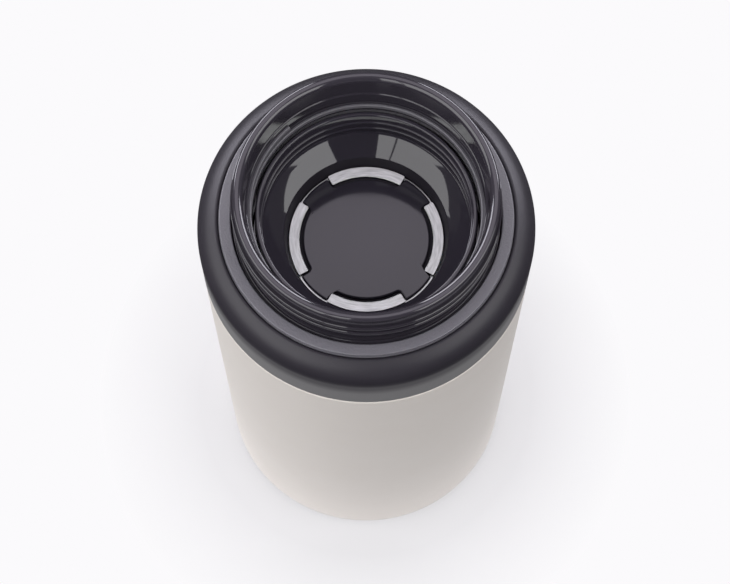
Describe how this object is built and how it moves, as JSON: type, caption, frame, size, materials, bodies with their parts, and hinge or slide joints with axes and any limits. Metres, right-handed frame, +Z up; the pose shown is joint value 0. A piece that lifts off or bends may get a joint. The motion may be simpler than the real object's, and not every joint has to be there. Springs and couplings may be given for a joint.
{
  "type": "insulated food jar",
  "caption": "Double-walled steel jar with a matt collar, a threaded neck, and a dished screw-in stopper whose spring-loaded button opens a ring valve.",
  "frame": {"origin": "centre of the foot's underside, on the surface that the jar stands on", "axes": "+Z up along the jar's axis; the four arcs of the valve plate are centred on +X, +Y, -X and -Y"},
  "size_m": [0.08, 0.08, 0.162],
  "materials": {
    "powder_coat": "cream powder coat, fine matt",
    "stainless": "brushed stainless steel",
    "spring_steel": "drawn spring wire",
    "foil": "bright foil",
    "getter_metal": "sintered metal",
    "solder_glass": "dull glass bead",
    "black_matt": "fine matt moulded black",
    "black_satin": "grained satin moulded black",
    "black_gloss": "polished moulded black",
    "button_gloss": "polished moulded black",
    "natural_plastic": "natural moulded plastic",
    "silicone": "translucent white silicone",
    "foot_rubber": "matt grey silicone rubber"
  },
  "bodies": {
    "jar": {"outer_shell": "powder_coat", "liner": "stainless", "liner_bottom": "stainless", "liner_neck": "stainless", "base_plate": "stainless", "vacuum_plug": "solder_glass", "getter": "getter_metal", "radiation_foil": "foil", "foot_pad": "foot_rubber", "neck_gasket": "silicone", "neck_ring": "black_gloss", "seat_ring": "black_satin", "collar": "black_matt"},
    "stopper": {"stopper_bowl": "black_gloss", "stopper_gasket": "silicone", "housing_seal": "silicone", "valve_housing": "black_matt", "stem_guide": "natural_plastic", "valve_spring": "spring_steel"},
    "valve": {"valve_carrier": "natural_plastic", "valve_seal": "silicone", "valve_plate": "stainless", "valve_button": "button_gloss", "stem_clip": "spring_steel"}
  },
  "joints": [
    {"name": "stopper_lift", "type": "slide", "parent": "jar", "child": "stopper", "axis": [0, 0, 1], "range_m": [0, 0.08]},
    {"name": "valve_press", "type": "slide", "parent": "stopper", "child": "valve", "axis": [0, 0, -1], "range_m": [0, 0.005], "stiffness_N_per_m": 400, "springref_m": -0.006, "deforming": ["valve_spring"]}
  ]
}
